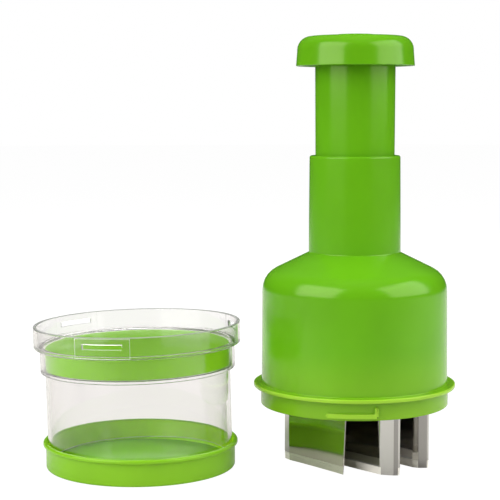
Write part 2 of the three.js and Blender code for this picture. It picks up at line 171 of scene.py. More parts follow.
SPRING_WIRE = 1.6
SPRING_TURNS = 9
SPRING_FLAT_TURNS = 0.75  # the closed turn at each end
SPRING_STEPS = 48  # facets along one turn
SPRING_SIDES = 12  # facets round the wire

BASE_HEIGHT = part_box("cup_base")[1].z / MM
BEAD_RADIUS = (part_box("cup_base")[1].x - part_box("cup_base")[0].x) / 2 / MM
BASE_RADIUS = 46.3
BASE_INNER = 45.5
BASE_FLOOR = 2.5
BEAD_HEIGHT = 2.1

CUP_BOTTOM = 2.8
CUP_RADIUS = 45.0
COLLAR_RADIUS = 47.4
MOUTH_RADIUS = 50.3
CUP_WALL = 1.6
CUP_FOOT = 0.3  # height of the lower edge painted pale: painted light, in place of the light carried down the wall to it
COLLAR_Z = 47.1
MOUTH_Z = 58.8
LEDGE = 1.4
RIM_Z = 69.5
RIM_BAND = 0.45  # height of the rim band painted grey: painted shade, in place of the shading seen at the rim's edge
SLOTS = (-105, 14, 134.5)  # middles of the slots, in degrees about the cup's axis
SLOT_BOTTOM, SLOT_TOP = 63.9, 66.1
SLOT_LENGTH = 19.5
SLOT_ROUND = 0.3
PANEL_BOTTOM, PANEL_TOP = 59.6, 69.0
PANEL_LENGTH = 27.0
PANEL_DEPTH = 0.12
PANEL_RAMP = 0.16  # width of the step round a panel

LID_RADIUS = 44.9
LID_WALL = 1.4
LID_BOTTOM = 48.8
LID_TOP = 59.1
LID_ROOF = 1.9

NEAR = 0.4  # faces closer to a surface than this belong to it (mm)


# ------------------------------------------------------------------ studio

PAINTED_LIGHT_HEIGHTS = (0.022, 0.060)  # between these heights the press unit's green is painted paler downwards (m): painted light, in place of light shining through the lower mouldings
TABLE_COLOUR = (0.60, 0.59, 0.56)
TABLE_NEAR_COLOUR = (0.22, 0.22, 0.22)  # in front of the pale sheet
TABLE_FRONT = (-0.48, -0.22)  # the pale sheet on the table ends between these, in front of the set (m)
TABLE_RADIUS = 6.0
TABLE_GAP = 0.00005  # between the table and what stands on it, so that their faces don't meet (m)
TABLE_GLOW = 1.12  # brightness of the overexposed table
TABLE_GLOW_SHARE = 0.88  # the rest is the table's own colour, with its shadows
ROOM, BACKDROP, CEILING = 0.28, 0.45, 0.70  # brightness of the studio's sides
BACKDROP_REACH = (0.5, 0.85)  # how far a direction points back where the backdrop starts and is full
CEILING_REACH = (0.3, 1.0)  # how far it points up where the ceiling starts and is full
AIM = Vector((0, 0, 0.10))  # where the lights point
LENS = 107.5
CAMERA_PLACE = Vector((-0.05143, -0.7354, 0.1756))  # from the press unit's foot (m)
CAMERA_TURN = (math.pi / 2 - 0.0966, 0.0026, 0.00017)


# ------------------------------------------------------------------ mesh helpers

def rounded(corners, closed=True):
    """Points of an outline given as (radius, z, corner radius): each corner becomes an arc."""
    points = []
    count = len(corners)
    for i, (r, z, bend) in enumerate(corners):
        here = Vector((r, z))
        at_end = not closed and i in (0, count - 1)
        if bend == 0 or at_end:
            points.append(here)
            continue
        before = (Vector(corners[i - 1][:2]) - here).normalized()
        after = (Vector(corners[(i + 1) % count][:2]) - here).normalized()
        half = before.angle(after) / 2
        centre = here + (before + after).normalized() * (bend / math.sin(half))
        start = here + before * (bend / math.tan(half)) - centre
        turn = math.pi - 2 * half
        side = 1 if before.x * after.y - before.y * after.x < 0 else -1
        steps = max(2, math.ceil(turn / ARC_STEP))
        for k in range(steps + 1):
            points.append(centre + Matrix.Rotation(side * turn * k / steps, 2) @ start)
    return points


def lathe_mesh(bm, points, axis, sides):
    """Adds to bm the surface of revolution of (radius, z) points about the vertical through axis."""
    closed = points[0].x > ON_AXIS
    rings = []
    for r, z in points:
        if r < ON_AXIS:
            rings.append([bm.verts.new(axis + Vector((0, 0, z * MM)))])
            continue
        ring = []
        for k in range(sides):
            angle = 2 * math.pi * k / sides
            ring.append(bm.verts.new(axis + Vector((r * math.cos(angle), r * math.sin(angle), z)) * MM))
        rings.append(ring)
    pairs = list(zip(rings, rings[1:]))
    if closed:
        pairs.append((rings[-1], rings[0]))
    for low, high in pairs:
        for k in range(sides):
            n = (k + 1) % sides
            corners = [low[k % len(low)], low[n % len(low)], high[n % len(high)], high[k % len(high)]]
            corners = [v for i, v in enumerate(corners) if v not in corners[:i]]
            if len(corners) > 2:
                bm.faces.new(corners)


def finished(name, bm, materials, crease=38):
    """An object from bm, shaded smooth except across edges sharper than crease degrees."""
    bmesh.ops.recalc_face_normals(bm, faces=bm.faces)
    mesh = bpy.data.meshes.new(name)
    bm.to_mesh(mesh)
    bm.free()
    for material in materials:
        mesh.materials.append(material)
    mesh.polygons.foreach_set("use_smooth", [True] * len(mesh.polygons))
    mesh.set_sharp_from_angle(angle=math.radians(crease))
    obj = bpy.data.objects.new(name, mesh)
    bpy.context.scene.collection.objects.link(obj)
    weighted = obj.modifiers.new("weighted_normals", "WEIGHTED_NORMAL")
    weighted.keep_sharp = True
    return obj


def place(obj, body, slot, *nodes):
    """The piece rides on a body and stands for CAD nodes, which it hides. The slot is not used."""
    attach(obj, body)
    if nodes:
        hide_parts(*nodes)
    return obj


def turned(name, corners, axis, material, closed=True):
    """A turned piece from a rounded outline."""
    bm = bmesh.new()
    lathe_mesh(bm, rounded(corners, closed), axis, ROUND)
    return finished(name, bm, [material])


def leaned(obj):
    """Leans a piece of the cup about the cup's lower edge, as the frame's cup leans."""
    pivot = CUP + Vector((-CUP_RADIUS, 0, CUP_BOTTOM)) * MM
    turn = Matrix.Rotation(-math.atan2(-LEAN.x, LEAN.z), 4, "Y")
    obj.data.transform(Matrix.Translation(pivot) @ turn @ Matrix.Translation(-pivot))
    return obj


# ------------------------------------------------------------------ materials

class Nodes:
    """A material's node tree, with short calls for adding and linking nodes."""

    def __init__(self, name):
        self.material = bpy.data.materials.new(name)
        self.material.use_nodes = True
        self.tree = self.material.node_tree
        self.shader = self.tree.nodes["Principled BSDF"]
        self.output = self.tree.nodes["Material Output"]
        self.place = self.add("ShaderNodeTexCoord").outputs["Object"]

    def add(self, kind, **inputs):
        node = self.tree.nodes.new(kind)
        for key, value in inputs.items():
            node.inputs[key.replace("_", " ")].default_value = value
        return node

    def link(self, source, target):
        self.tree.links.new(source, target)

    def set(self, **inputs):
        for key, value in inputs.items():
            self.shader.inputs[key.replace("_", " ")].default_value = value

    def noise(self, scale, detail=3.0, stretch=None):
        """A noise pattern of that scale per metre, stretched along the axes if asked."""
        pattern = self.add("ShaderNodeTexNoise", Scale=scale, Detail=detail)
        source = self.place
        if stretch:
            mapping = self.add("ShaderNodeMapping", Scale=stretch)
            self.link(source, mapping.inputs["Vector"])
            source = mapping.outputs["Vector"]
        self.link(source, pattern.inputs["Vector"])
        return pattern.outputs["Fac"]

    def ramp(self, source, low, high, start=0.3, end=0.7):
        """Maps a pattern to a number between low and high."""
        spread = self.add("ShaderNodeMapRange")
        for key, value in zip(("From Min", "From Max", "To Min", "To Max"), (start, end, low, high)):
            spread.inputs[key].default_value = value
        self.link(source, spread.inputs["Value"])
        return spread.outputs["Result"]

    def mix(self, factor, first, second):
        """A colour between two colours."""
        blend = self.tree.nodes.new("ShaderNodeMix")
        blend.data_type = "RGBA"
        self.link(factor, blend.inputs["Factor"])
        for socket, colour in ((blend.inputs[6], first), (blend.inputs[7], second)):
            if hasattr(colour, "links"):
                self.link(colour, socket)
            else:
                socket.default_value = (*colour, 1)
        return blend.outputs[2]

    def bump(self, source, height, distance=0.001, before=None):
        """A bump from a pattern, added to an earlier bump if there is one."""
        relief = self.add("ShaderNodeBump", Strength=height, Distance=distance)
        self.link(source, relief.inputs["Height"])
        if before:
            self.link(before, relief.inputs["Normal"])
        return relief.outputs["Normal"]


def seen_directly(m):
    """1 for what is seen directly or through something clear, and 0 for what is seen mirrored."""
    path = m.add("ShaderNodeLightPath")
    either = m.add("ShaderNodeMath")
    either.operation = "MAXIMUM"
    m.link(path.outputs["Is Camera Ray"], either.inputs[0])
    m.link(path.outputs["Is Transmission Ray"], either.inputs[1])
    straight = m.add("ShaderNodeMath")
    straight.operation = "MULTIPLY"
    m.link(either.outputs[0], straight.inputs[0])
    m.link(m.ramp(path.outputs["Glossy Depth"], 1, 0, 0, 1), straight.inputs[1])
    return straight.outputs[0]


def moulded_plastic(name, colour, roughness, gloss=0.5, paler_low_painted_light=None):
    """Moulded plastic: a faint cloudiness in its colour, sink marks and a fine skin.

    With a second colour it goes over to that one low down: painted light, paler towards the bottom, in place of
    light shining through the lower mouldings."""
    m = Nodes(name)
    if paler_low_painted_light:
        # painted light: the colour goes over to the paler one towards the bottom
        height = m.add("ShaderNodeSeparateXYZ")
        m.link(m.place, height.inputs[0])
        colour = m.mix(m.ramp(height.outputs["Z"], 1.0, 0.0, *PAINTED_LIGHT_HEIGHTS), colour, paler_low_painted_light)
    cloud = m.mix(m.ramp(m.noise(28.0), 0.0, 0.12), colour, (0.0, 0.0, 0.0))
    m.link(cloud, m.shader.inputs["Base Color"])
    m.link(m.ramp(m.noise(240.0, 3.0), roughness * 0.92, roughness * 1.1), m.shader.inputs["Roughness"])
    waves = m.bump(m.noise(40.0, 1.0), 0.015, 0.002)
    skin = m.bump(m.noise(2600.0, 2.0), 0.01, 0.0002, waves)
    m.link(skin, m.shader.inputs["Normal"])
    m.set(Specular_IOR_Level=gloss, IOR=1.5)
    return m


def lime_plastic(name, colour, paler_low_painted_light=None, gloss=0.5):
    """The glossy green plastic. A little light passes under its skin."""
    m = moulded_plastic(name, colour, 0.19, gloss, paler_low_painted_light)
    m.set(Specular_Tint=(1.0, 1.0, 0.6, 1.0))
    m.set(Subsurface_Weight=0.1, Subsurface_Radius=(0.5, 1.0, 0.15), Subsurface_Scale=0.0015)
    return m.material


def clear_plastic():
    """Clear moulded plastic. Lamps shine through it, so what is inside isn't left in shade."""
    m = Nodes("clear_plastic")
    m.set(Base_Color=(0.912, 0.894, 0.886, 1), Transmission_Weight=1.0, IOR=1.49, Specular_IOR_Level=0.22)
    m.link(m.ramp(m.noise(300.0, 4.0), 0.0, 0.03), m.shader.inputs["Roughness"])
    m.link(m.bump(m.noise(60.0, 1.0), 0.02, 0.002), m.shader.inputs["Normal"])
    lamp = m.add("ShaderNodeBsdfTransparent", Color=(0.98, 0.98, 0.975, 1))
    path = m.add("ShaderNodeLightPath")
    choice = m.add("ShaderNodeMixShader")
    m.link(path.outputs["Is Shadow Ray"], choice.inputs[0])
    m.link(m.shader.outputs[0], choice.inputs[1])
    m.link(lamp.outputs[0], choice.inputs[2])
    m.link(choice.outputs[0], m.output.inputs["Surface"])
    return m.material


def painted_edge_plastic(name, colour):
    """Clear plastic painted in a flat colour and made matt, for the cup's cut edges: painted light and painted
    shade in place of what the clear edges show.
    """
    m = moulded_plastic(name, colour, 0.5, 0.3)
    m.set(Transmission_Weight=0.3)
    return m.material


def bright_steel(name, roughness, grain, colour, metallic):
    """Rolled stainless strip: a mirror with fine streaks along the strip.

    Grain is the number of streaks per metre. A low metallic value stands for a ground, dull surface; with a pale
    colour it also carries a painted reflection."""
    m = Nodes(name)
    m.set(Metallic=metallic)
    streaks = m.noise(grain, 4.0, (1.0, 1.0, 60.0))
    light = [min(1.0, part * 1.1) for part in colour]
    m.link(m.mix(streaks, colour, light), m.shader.inputs["Base Color"])
    m.link(m.ramp(streaks, roughness * 0.7, roughness * 1.4), m.shader.inputs["Roughness"])
    m.link(m.bump(streaks, 0.04, 0.0002), m.shader.inputs["Normal"])
    return m.material


def plated_steel():
    """Zinc-plated wire and screws."""
    m = Nodes("plated_steel")
    m.set(Metallic=1.0)
    patches = m.noise(500.0, 4.0)
    m.link(m.mix(patches, (0.52, 0.53, 0.55), (0.62, 0.62, 0.62)), m.shader.inputs["Base Color"])
    m.link(m.ramp(patches, 0.22, 0.42), m.shader.inputs["Roughness"])
    m.link(m.bump(m.noise(1800.0), 0.1, 0.0002), m.shader.inputs["Normal"])
    return m.material


def nylon():
    """Natural nylon of the guide and ratchet parts, slightly milky."""
    m = moulded_plastic("nylon", (0.80, 0.79, 0.74), 0.42, 0.4)
    m.set(Subsurface_Weight=0.1, Subsurface_Radius=(1.0, 0.9, 0.8), Subsurface_Scale=0.001)
    return m.material


def silicone():
    """The soft grey stop ring."""
    return moulded_plastic("silicone", (0.66, 0.67, 0.64), 0.6, 0.35).material


def table_top():
    """The pale table. Seen directly or through the cup it is as bright as an overexposed sweep."""
    m = Nodes("table_top")
    m.set(Specular_IOR_Level=0.1)
    axes = m.add("ShaderNodeSeparateXYZ")
    m.link(m.place, axes.inputs[0])
    reach = m.ramp(axes.outputs["Y"], 0.0, 1.0, *TABLE_FRONT)
    m.link(m.mix(reach, TABLE_NEAR_COLOUR, TABLE_COLOUR), m.shader.inputs["Base Color"])
    m.link(m.ramp(m.noise(30.0), 0.6, 0.7), m.shader.inputs["Roughness"])
    glow = m.add("ShaderNodeEmission", Color=(1, 1, 1, 1), Strength=TABLE_GLOW)
    choice = m.add("ShaderNodeMixShader")
    share = m.ramp(seen_directly(m), 0, TABLE_GLOW_SHARE, 0, 1)
    m.link(share, choice.inputs[0])
    m.link(m.shader.outputs[0], choice.inputs[1])
    m.link(glow.outputs[0], choice.inputs[2])
    m.link(choice.outputs[0], m.output.inputs["Surface"])
    return m.material


# its second colour is painted light: the press unit's green painted paler low down
LIME = lime_plastic("lime_plastic", (0.140, 0.45, 0.008), (0.245, 0.52, 0.014))
# painted highlight: a lighter, yellower green for the flange's lip and the hook ribs
LIME_PAINTED_HIGHLIGHT = lime_plastic("lime_plastic_painted_highlight", (0.35, 0.66, 0.035))
LIME_BASE = lime_plastic("lime_plastic_base", (0.245, 0.57, 0.015))
# painted light: a much lighter copy of the dish's green for its inner wall, which lies in shade inside the cup
LIME_PAINTED_LIGHT_INSIDE = lime_plastic("lime_plastic_painted_light_inside", (0.47, 0.96, 0.01), gloss=0.2)
# painted shade: a darker copy of the dish's green for its floor
LIME_PAINTED_SHADE_FLOOR = lime_plastic("lime_plastic_painted_shade_floor", (0.16, 0.47, 0.002), gloss=0.15)
LIME_LID = lime_plastic("lime_plastic_lid", (0.195, 0.48, 0.011), gloss=0.35)
CLEAR = clear_plastic()
# painted light: a pale, matt copy of the clear plastic for the panel steps, the slot faces and the lower edge,
# where the clear edges show highlights and a glow
PAINTED_EDGE_LIGHT = painted_edge_plastic("painted_edge_light_plastic", (0.88, 0.88, 0.86))
# painted shade: a grey, matt copy of the clear plastic for the band round the rim
RIM_PAINTED_SHADE = painted_edge_plastic("rim_painted_shade_plastic", (0.40, 0.405, 0.385))
BLADE_STEEL = bright_steel("blade_steel", 0.07, 30.0, (0.60, 0.585, 0.565), 1.0)
# painted shade: a darker copy of the steel for the folds right of the seam
STEEL_PAINTED_SHADE = bright_steel("steel_painted_shade", 0.12, 30.0, (0.35, 0.335, 0.325), 1.0)
# the ground band: rougher as ground steel is, and painted near white as a painted reflection of the lit table
GROUND_STEEL_PAINTED_PALE = bright_steel("ground_steel_painted_reflection", 0.35, 90.0, (0.92, 0.88, 0.80), 0.2)
# painted reflection: the free front leg's steel tinted yellow-green like the green and pale things it reflects
LEG_STEEL_PAINTED_REFLECTION = bright_steel("leg_steel_painted_reflection", 0.07, 30.0, (0.52, 0.52, 0.41), 1.0)
# painted reflection: the same tint on the free leg's ground band, which is also less metallic
GROUND_LEG_PAINTED_REFLECTION = bright_steel("ground_leg_steel_painted_reflection", 0.35, 90.0, (0.54, 0.55, 0.43), 0.5)
PLATED = plated_steel()
NYLON = nylon()
SILICONE = silicone()

# the clear plastic and its copies painted with light and shade for the edges
CUP_CLEAR_AND_PAINTED = [CLEAR, PAINTED_EDGE_LIGHT, RIM_PAINTED_SHADE]
# the plain green and its painted highlight
HOUSING_SHADES = [LIME, LIME_PAINTED_HIGHLIGHT]
# the blade's steel and its copies painted with shade and reflections
BLADE_STEEL_AND_PAINTED_COPIES = [BLADE_STEEL, GROUND_STEEL_PAINTED_PALE, LEG_STEEL_PAINTED_REFLECTION, GROUND_LEG_PAINTED_REFLECTION, STEEL_PAINTED_SHADE]


# ------------------------------------------------------------------ cup unit

def make_base():
    """The green dish under the cup, in three greens: outside, the inner wall painted lighter (painted light) and
    the floor painted darker (painted shade).
    """
    bead_bottom = BASE_HEIGHT - BEAD_HEIGHT
    corners = [
        (0, 0.0, 0),
        (BASE_RADIUS - 0.1, 0, 1.0),
        (BASE_RADIUS, bead_bottom, 0.5),
        (BEAD_RADIUS, bead_bottom, 0.7),
        (BEAD_RADIUS, BASE_HEIGHT, 1.0),
        (BASE_INNER, BASE_HEIGHT, 0.6),
        (BASE_INNER, BASE_FLOOR, 0.6),
        (0, BASE_FLOOR, 0),
    ]
    shades = [LIME_BASE, LIME_PAINTED_LIGHT_INSIDE, LIME_PAINTED_SHADE_FLOOR]
    bm = bmesh.new()
    lathe_mesh(bm, rounded(corners, closed=False), CUP, ROUND)
    for face in bm.faces:
        centre = face.calc_center_median() / MM
        reach = (centre.xy - CUP.xy / MM).length
        # painted light on the inner wall, painted shade on the floor
        if abs(reach - BASE_INNER) < NEAR and centre.z < BASE_HEIGHT - 2 * NEAR:
            face.material_index = shades.index(LIME_PAINTED_LIGHT_INSIDE)
        elif abs(centre.z - BASE_FLOOR) < NEAR:
            face.material_index = shades.index(LIME_PAINTED_SHADE_FLOOR)
    base = finished("base_dish", bm, shades)
    place(base, "base", "lime_plastic", "cup_base")


def make_lid():
    """The storage lid: a shallow green dish, upside down, on the ledge in the cup's collar."""
    corners = [
        (0, LID_TOP - LID_ROOF, 0),
        (LID_RADIUS - LID_WALL, LID_TOP - LID_ROOF, 0.8),
        (LID_RADIUS - LID_WALL, LID_BOTTOM, 0.5),
        (LID_RADIUS, LID_BOTTOM, 0.5),
        (LID_RADIUS, LID_TOP, 0.9),
        (0, LID_TOP, 0),
    ]
    lid = leaned(turned("lid_dish", corners, CUP, LIME_LID, closed=False))
    place(lid, "lid", "lime_plastic", "storage_lid")


def cup_outline():
    """The cup's closed outline: the wall with its two outward steps, each with a ledge inside."""
    mouth_inner = MOUTH_RADIUS - CUP_WALL
    collar_inner = COLLAR_RADIUS - CUP_WALL
    inner = CUP_RADIUS - CUP_WALL
    return rounded([
        (inner, CUP_BOTTOM, 0.5),
        (CUP_RADIUS, CUP_BOTTOM, 0.5),
        (CUP_RADIUS, COLLAR_Z, 0.5),
        (COLLAR_RADIUS, COLLAR_Z, 0.6),
        (COLLAR_RADIUS, MOUTH_Z, 0.5),
        (MOUTH_RADIUS, MOUTH_Z, 1.2),
        (MOUTH_RADIUS, RIM_Z, 0.6),
        (mouth_inner, RIM_Z, 0.6),
        (mouth_inner, MOUTH_Z + LEDGE, 0.5),
        (collar_inner, MOUTH_Z + LEDGE, 0.6),
        (collar_inner, COLLAR_Z + LEDGE, 0.5),
        (inner, COLLAR_Z + LEDGE, 0.6),
    ])


def cup_rows():
    """The rows of the cup's outline, with extra ones where the panels and slots start and end."""
    mouth_inner = MOUTH_RADIUS - CUP_WALL
    outside = [
        Row(MOUTH_RADIUS, PANEL_BOTTOM, 0, None),
        Row(MOUTH_RADIUS, PANEL_BOTTOM + PANEL_RAMP, 1, None),
        Row(MOUTH_RADIUS, SLOT_BOTTOM, 1, "outer"),
        Row(MOUTH_RADIUS, SLOT_TOP, 1, "outer"),
        Row(MOUTH_RADIUS, PANEL_TOP - PANEL_RAMP, 1, None),
        Row(MOUTH_RADIUS, PANEL_TOP, 0, None),
    ]
    inside = [
        Row(mouth_inner, SLOT_TOP, 0, "inner"),
        Row(mouth_inner, SLOT_BOTTOM, 0, "inner"),
    ]
    outline = cup_outline()
    rows = []
    for point, following in zip(outline, outline[1:] + outline[:1]):
        rows.append(Row(point.x, point.y, 0, None))
        if point.y < SLOT_BOTTOM < SLOT_TOP < following.y:
            rows += outside
        if point.y > SLOT_TOP > SLOT_BOTTOM > following.y:
            rows += inside
    return rows


def cup_columns():
    """The columns round the cup, with extra ones at the edges of the panels and slots."""
    degrees = 180 / (math.pi * MOUTH_RADIUS)
    slot_half = SLOT_LENGTH / 2 * degrees
    panel_half = PANEL_LENGTH / 2 * degrees
    ramp = PANEL_RAMP * degrees
    halves = (slot_half, panel_half, panel_half + ramp)
    marks = [(slot + side * half) % 360 for slot in SLOTS for side in (-1, 1) for half in halves]
    step = 360 / ROUND
    spread = [k * step for k in range(ROUND) if all(abs(k * step - m) > step / 3 for m in marks)]
    columns = []
    for angle in sorted(marks + spread):
        off = min(abs((angle - slot + 180) % 360 - 180) for slot in SLOTS)
        in_panel = off < panel_half + ramp / 2
        in_slot = off < slot_half + ramp / 2
        columns.append(Column(math.radians(angle), in_panel, in_slot))
    return columns


def cup_grid(bm, rows, columns):
    """The cup's points: a ring for each row, with a point for each column."""
    grid = []
    for row in rows:
        ring = []
        for column in columns:
            radius = row.radius - PANEL_DEPTH * row.sunk * column.in_panel
            point = Vector((radius * math.cos(column.angle), radius * math.sin(column.angle), row.z))
            ring.append(bm.verts.new(CUP + point * MM))
        grid.append(ring)
    return grid


def add_cup_walls(bm, grid, rows, columns):
    """The cup's faces, with the slots left open and the steps round the panels painted pale as a painted
    highlight.
    """
    for i, row in enumerate(rows):
        j = (i + 1) % len(rows)
        across_slot = row.slot_face is not None and row.slot_face == rows[j].slot_face
        for k, column in enumerate(columns):
            n = (k + 1) % len(columns)
            if across_slot and column.in_slot and columns[n].in_slot:
                continue
            face = bm.faces.new((grid[i][k], grid[i][n], grid[j][n], grid[j][k]))
            # painted highlight on the steps round the panels
            depths = {rows[line].sunk * columns[side].in_panel for line in (i, j) for side in (k, n)}
            if len(depths) == 2:
                face.material_index = CUP_CLEAR_AND_PAINTED.index(PAINTED_EDGE_LIGHT)


def add_slot_faces(bm, grid, rows, columns):
    """The faces that line the slots, painted pale as a painted highlight, and their rounded edges."""
    outer_low, outer_high = (grid[i] for i, row in enumerate(rows) if row.slot_face == "outer")
    inner_high, inner_low = (grid[i] for i, row in enumerate(rows) if row.slot_face == "inner")
    cut = []
    for k, column in enumerate(columns):
        n = (k + 1) % len(columns)
        if column.in_slot and columns[n].in_slot:
            for outer, inner in ((outer_low, inner_low), (outer_high, inner_high)):
                cut.append(bm.faces.new((outer[k], outer[n], inner[n], inner[k])))
        elif column.in_slot or columns[n].in_slot:
            end = k if column.in_slot else n
            cut.append(bm.faces.new((outer_low[end], outer_high[end], inner_high[end], inner_low[end])))
    # painted highlight on the slot faces
    for face in cut:
        face.material_index = CUP_CLEAR_AND_PAINTED.index(PAINTED_EDGE_LIGHT)
    edges = {e for face in cut for e in face.edges if len([f for f in e.link_faces if f in cut]) == 1}
    bmesh.ops.recalc_face_normals(bm, faces=bm.faces)
    bmesh.ops.bevel(bm, geom=list(edges), offset=SLOT_ROUND * MM, segments=3, affect="EDGES", profile=0.5)


def make_cup():
    """The clear cup, with three slots in sunk panels round its mouth."""
    rows = cup_rows()
    columns = cup_columns()
    bm = bmesh.new()
    grid = cup_grid(bm, rows, columns)
    add_cup_walls(bm, grid, rows, columns)
    add_slot_faces(bm, grid, rows, columns)
    # painted light on the lower edge, painted shade on the rim band
    for face in bm.faces:
        heights = [v.co.z / MM for v in face.verts]
        if max(heights) < CUP_BOTTOM + CUP_FOOT:
            face.material_index = CUP_CLEAR_AND_PAINTED.index(PAINTED_EDGE_LIGHT)
        elif min(heights) > RIM_Z - RIM_BAND:
            face.material_index = CUP_CLEAR_AND_PAINTED.index(RIM_PAINTED_SHADE)
    cup = leaned(finished("cup_shell", bm, CUP_CLEAR_AND_PAINTED, 50))
    place(cup, "cup", "clear_plastic", "clear_cup")


# ------------------------------------------------------------------ press unit: green mouldings

def make_knob():
    """The mushroom knob: a plug and socket for the tube below, a plain raised ring on top."""
    bottom, top = KNOB_LOW.z, KNOB_HIGH.z
    plug = TUBE_RADIUS - TUBE_WALL - 0.6
    socket = TUBE_RADIUS + 0.5
    roof = TUBE_HIGH.z + 0.3
    crown = top - 1.4
    badge = 8.7
    corners = [
        (0, roof + 3, 0),
        (plug, roof + 3, 0.8),
        (plug, roof, 0.3),
        (socket, roof, 0.3),
        (socket, bottom + 3, 0.4),
        (socket + 1.9, bottom + 3, 0.4),
        (socket + 1.9, roof + 2.2, 0.8),
        (KNOB_RADIUS - 5, roof + 2.2, 3.0),
        (KNOB_RADIUS - 2.2, bottom, 0.3),
        (KNOB_RADIUS, bottom, 0.3),
        (KNOB_RADIUS - 0.55, bottom + 6.8, 3.0),
        (KNOB_RADIUS - 0.75, crown + 0.25, 6.6),
        (badge + 1.6, top - 0.5, 6.0),
        (badge + 0.5, top - 0.47, 0.3),
        (badge, top - 0.05, 0.2),
        (badge - 1.2, top - 0.05, 0.2),
        (badge - 1.6, top - 0.35, 0.2),
        (0, top - 0.3, 0),
    ]
    knob = turned("knob_shell", corners, PRESS, LIME, closed=False)
    place(knob, "plunger", "lime_plastic", "knob_cap")


def make_tube():
    """The tube that slides in the neck, with a stop flange at its foot and a web for the stem's screw."""
    bottom, top = TUBE_LOW.z, TUBE_HIGH.z
    inner = TUBE_RADIUS - TUBE_WALL
    corners = [
        (WEB_HOLE, TUBE_WEB, 0.3),
        (inner, TUBE_WEB, 0.8),
        (inner, bottom, 0.4),
        (TUBE_STOP_RADIUS, bottom, 0.5),
        (TUBE_STOP_RADIUS, bottom + TUBE_FOOT, 0.5),
        (TUBE_RADIUS - TUBE_DRAFT, bottom + TUBE_FOOT, 0.5),
        (TUBE_RADIUS + TUBE_DRAFT, top - 5, 0),
        (TUBE_RADIUS + TUBE_DRAFT, top, 0.4),
        (inner, top, 0.4),
        (inner, TUBE_WEB + WEB_THICKNESS, 0.8),
        (WEB_HOLE, TUBE_WEB + WEB_THICKNESS, 0.3),
    ]
    tube = turned("plunger_sleeve", corners, PRESS, LIME)
    place(tube, "plunger", "lime_plastic", "plunger_tube")


def cone_height(radius):
    """Height of the housing's shoulder at a radius."""
    return SHOULDER_TOP - (radius - NECK_RADIUS) * math.tan(SHOULDER_SLOPE)


def add_boss(bm, angle):
    """A screw boss of the housing, hollow from below."""
    centre = PRESS + Vector((math.cos(angle), math.sin(angle), 0)) * BOSS_CIRCLE * MM
    corners = [
        (0, BOSS_HOLE_TOP, 0),
        (BOSS_HOLE, BOSS_HOLE_TOP, 0),
        (BOSS_HOLE, BOSS_BOTTOM, 0.3),
        (BOSS_RADIUS, BOSS_BOTTOM, 0.4),
        (BOSS_RADIUS, BOSS_TOP, 0),
        (0, BOSS_TOP, 0),
    ]
    lathe_mesh(bm, rounded(corners, closed=False), centre, BOSS_SIDES)


def flat_hook(left, right):
    """A bayonet rib laid out flat: x along the skirt, y out of it, z up."""
    plan = rounded([
        (left, HOOK_BOTTOM, 0.6),
        (right, HOOK_BOTTOM, 0.7),
        (right, HOOK_TOP, 0.7),
        (right - HOOK_WIDTH, HOOK_TOP, 0.7),
        (right - HOOK_WIDTH, HOOK_BAR_TOP, 0.3),
        (left, HOOK_BAR_TOP, 0.6),
    ])
    rib = bmesh.new()
    back = [rib.verts.new((p.x, -HOOK_SUNK, p.y)) for p in plan]
    front = [rib.verts.new((p.x, HOOK_PROUD, p.y)) for p in plan]
    rib.faces.new(back)
    face = rib.faces.new(front)
    for i in range(len(plan)):
        j = (i + 1) % len(plan)
        rib.faces.new((back[i], back[j], front[j], front[i]))
    bmesh.ops.bevel(rib, geom=list(face.edges), offset=HOOK_ROUND, segments=4, affect="EDGES", profile=0.5)
    return rib


def add_hook(bm, middle_degrees):
    """An L-shaped bayonet rib: a bar round the skirt with a leg up at its right-hand end."""
    length = math.radians(HOOK_ARC) * SKIRT_RADIUS
    left = -length / 2
    rib = flat_hook(left, length / 2)
    cuts = math.ceil(length)
    for i in range(1, cuts):
        x = left + length * i / cuts
        whole = list(rib.verts) + list(rib.edges) + list(rib.faces)
        bmesh.ops.bisect_plane(rib, geom=whole, plane_co=(x, 0, 0), plane_no=(1, 0, 0))
    for v in rib.verts:
        radius = SKIRT_RADIUS + v.co.y
        angle = math.radians(middle_degrees) + v.co.x / SKIRT_RADIUS
        v.co = PRESS + Vector((radius * math.cos(angle), radius * math.sin(angle), v.co.z)) * MM
    bmesh.ops.recalc_face_normals(rib, faces=rib.faces)
    # painted highlight: the whole rib is painted lighter
    for face in rib.faces:
        face.material_index = HOUSING_SHADES.index(LIME_PAINTED_HIGHLIGHT)
    copy = bpy.data.meshes.new("rib")
    rib.to_mesh(copy)
    rib.free()
    bm.from_mesh(copy)
    bpy.data.meshes.remove(copy)


